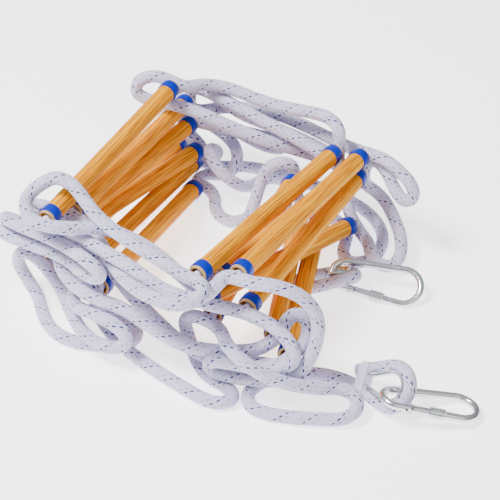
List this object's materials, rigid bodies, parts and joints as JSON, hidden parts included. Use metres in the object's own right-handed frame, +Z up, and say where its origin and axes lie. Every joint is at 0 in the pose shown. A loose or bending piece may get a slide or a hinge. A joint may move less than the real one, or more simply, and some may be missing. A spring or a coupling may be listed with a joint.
{
  "type": "escape rope ladder",
  "caption": "Folded escape rope ladder: round banded rungs between two braided side ropes, with a thimble eye and a snap hook at each rope's top end.",
  "frame": {"origin": "on the ground, below the middle of the folded ladder's rungs and hooks", "axes": "+Z up, +Y along the rungs from the near ends to the far ends, +X across the rungs towards the hooks"},
  "size_m": [0.6033, 0.4457, 0.2067],
  "materials": {
    "rung": "fluted, orange wood-look",
    "band": "glossy royal blue",
    "cord": "braided",
    "rope": "white double braid with navy tracers",
    "twine": "wound twine",
    "zinc": "bright zinc plating",
    "steel": "plain"
  },
  "bodies": {
    "ladder": {"rung_01_tube": "rung", "rung_01_end_bands": "band", "rung_02_tube": "rung", "rung_02_end_bands": "band", "rung_03_tube": "rung", "rung_03_end_bands": "band", "rung_04_tube": "rung", "rung_04_end_bands": "band", "rung_05_tube": "rung", "rung_05_end_bands": "band", "rung_06_tube": "rung", "rung_06_end_bands": "band", "rung_07_tube": "rung", "rung_07_end_bands": "band", "rung_08_tube": "rung", "rung_08_end_bands": "band", "rung_09_tube": "rung", "rung_09_end_bands": "band", "rung_10_tube": "rung", "rung_10_end_bands": "band", "rung_11_tube": "rung", "rung_11_end_bands": "band", "rung_12_tube": "rung", "rung_12_end_bands": "band", "rung_13_tube": "rung", "rung_13_end_bands": "band", "rung_14_tube": "rung", "rung_14_end_bands": "band", "rung_15_tube": "rung", "rung_15_end_bands": "band", "cross_cords": "cord", "side_rope_near": "rope", "side_rope_far": "rope", "thimble_front": "zinc", "whipping_front": "twine", "thimble_rear": "zinc", "whipping_rear": "twine"},
    "hook_front": {"hook_front_body": "zinc", "hook_front_gate_rivet": "steel", "hook_front_gate_spring": "steel"},
    "gate_front": {"hook_front_gate": "zinc"},
    "lock_sleeve_front": {"hook_front_lock_sleeve": "zinc"},
    "hook_rear": {"hook_rear_body": "zinc", "hook_rear_gate_rivet": "steel", "hook_rear_gate_spring": "steel"},
    "gate_rear": {"hook_rear_gate": "zinc"},
    "lock_sleeve_rear": {"hook_rear_lock_sleeve": "zinc"}
  },
  "joints": [
    {"name": "hook_front_swing", "type": "hinge", "parent": "ladder", "child": "hook_front", "pos_m": [0.21059, -0.08478, 0.02558], "axis": [-0.3112, -0.5944, -0.7416], "range_deg": [0, 28]},
    {"name": "gate_front_hinge", "type": "hinge", "parent": "hook_front", "child": "gate_front", "pos_m": [0.22308, -0.095, 0.02679], "axis": [0.1084, 0.2462, 0.9631], "range_deg": [0, 24], "stiffness_Nm_per_rad": 0.05, "springref_deg": -20.05},
    {"name": "lock_sleeve_front_slide", "type": "slide", "parent": "gate_front", "child": "lock_sleeve_front", "axis": [0.8352, 0.5028, -0.2226], "range_m": [0, 0.0115]},
    {"name": "hook_rear_swing", "type": "hinge", "parent": "ladder", "child": "hook_rear", "pos_m": [0.04932, 0.08184, 0.02122], "axis": [0.4688, -0.7482, 0.4696], "range_deg": [0, 8]},
    {"name": "gate_rear_hinge", "type": "hinge", "parent": "hook_rear", "child": "gate_rear", "pos_m": [0.0532, 0.06726, 0.01119], "axis": [0.2176, -0.5133, 0.8301], "range_deg": [0, 24], "stiffness_Nm_per_rad": 0.05, "springref_deg": -20.05},
    {"name": "lock_sleeve_rear_slide", "type": "slide", "parent": "gate_rear", "child": "lock_sleeve_rear", "axis": [0.9661, 0.2343, -0.1084], "range_m": [0, 0.0115]}
  ]
}
